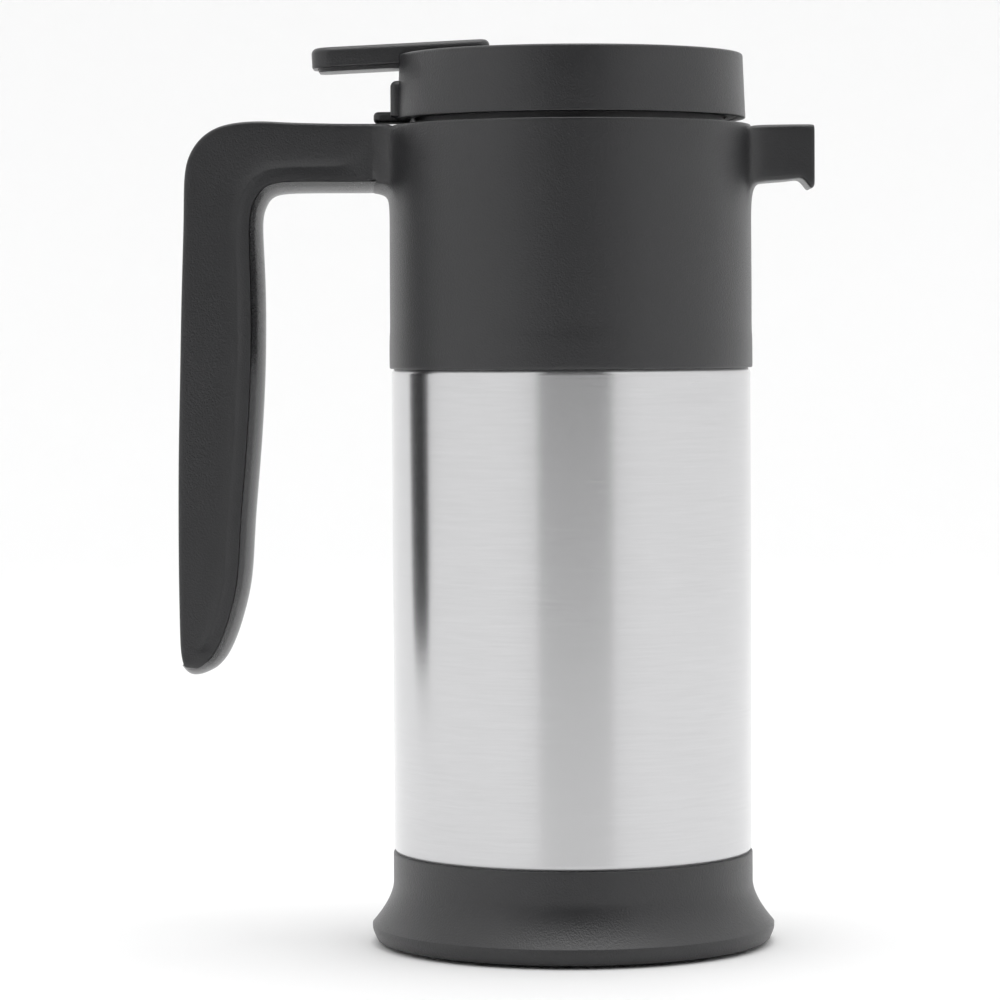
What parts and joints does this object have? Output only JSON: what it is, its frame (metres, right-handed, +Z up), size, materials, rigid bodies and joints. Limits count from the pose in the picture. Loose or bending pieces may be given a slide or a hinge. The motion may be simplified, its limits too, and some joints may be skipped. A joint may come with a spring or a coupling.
{
  "type": "thermal carafe",
  "caption": "Insulated carafe with a brushed-steel body, flared foot, side spout, open downward handle and a screw-in lid whose thumb lever opens the pouring valve.",
  "frame": {"origin": "centre of the foot on the table, on the body's axis", "axes": "+Z up along the body's axis, +X towards the spout, -X towards the handle"},
  "size_m": [0.1834, 0.1168, 0.261],
  "materials": {
    "charcoal_plastic": "fine-grained matte charcoal moulding",
    "inner_plastic": "satin dark grey polypropylene",
    "brushed_steel": "brushed round the body",
    "polished_steel": "polished stainless",
    "silvered_glass": "silvered vacuum glass",
    "elastomer": "matte black",
    "silicone": "matte grey silicone"
  },
  "bodies": {
    "jug": {"foot_pad": "elastomer", "foot_base": "charcoal_plastic", "foot_screw_1": "polished_steel", "foot_screw_2": "polished_steel", "foot_screw_3": "polished_steel", "support_cup": "inner_plastic", "liner_cushion": "elastomer", "steel_sleeve": "brushed_steel", "glass_liner": "silvered_glass", "neck_seal": "silicone", "pouring_funnel": "inner_plastic", "spout_nozzle": "inner_plastic", "funnel_screw_1": "polished_steel", "funnel_screw_2": "polished_steel", "funnel_screw_3": "polished_steel", "shoulder_housing": "charcoal_plastic", "handle_cover": "charcoal_plastic"},
    "seal_ring": {"stopper_seal": "silicone"},
    "lid": {"lid_cap": "charcoal_plastic", "lid_base_ring": "charcoal_plastic", "lid_screw_1": "polished_steel", "lid_screw_2": "polished_steel", "lid_screw_3": "polished_steel", "stopper_body": "inner_plastic", "stem_guide": "inner_plastic", "lever_pin": "polished_steel", "return_spring": "polished_steel"},
    "lever": {"lever_arm": "charcoal_plastic", "lever_cover": "charcoal_plastic"},
    "valve": {"valve_stem": "polished_steel", "valve_seal": "silicone", "stem_nut": "polished_steel"}
  },
  "joints": [
    {"name": "lid_lift", "type": "slide", "parent": "jug", "child": "seal_ring", "axis": [0, 0, 1], "range_m": [0, 0.0481]},
    {"name": "lid_turn", "type": "hinge", "parent": "seal_ring", "child": "lid", "pos_m": [0, 0, 0.2369], "axis": [0, 0, 1], "range_deg": [0, 720]},
    {"name": "lever_press", "type": "hinge", "parent": "lid", "child": "lever", "pos_m": [-0.038, 0, 0.2525], "axis": [0, -1, 0], "range_deg": [0, 9], "stiffness_Nm_per_rad": 0.2, "springref_deg": -11.46},
    {"name": "valve_lift", "type": "slide", "parent": "lid", "child": "valve", "axis": [0, 0, 1], "range_m": [0, 0.0061], "deforming": ["return_spring"]}
  ],
  "couplings": [
    {"joint": "lid_lift", "follows": "lid_turn", "m_per_rad": 0.0038197},
    {"joint": "valve_lift", "follows": "lever_press", "m_per_rad": 0.038}
  ]
}
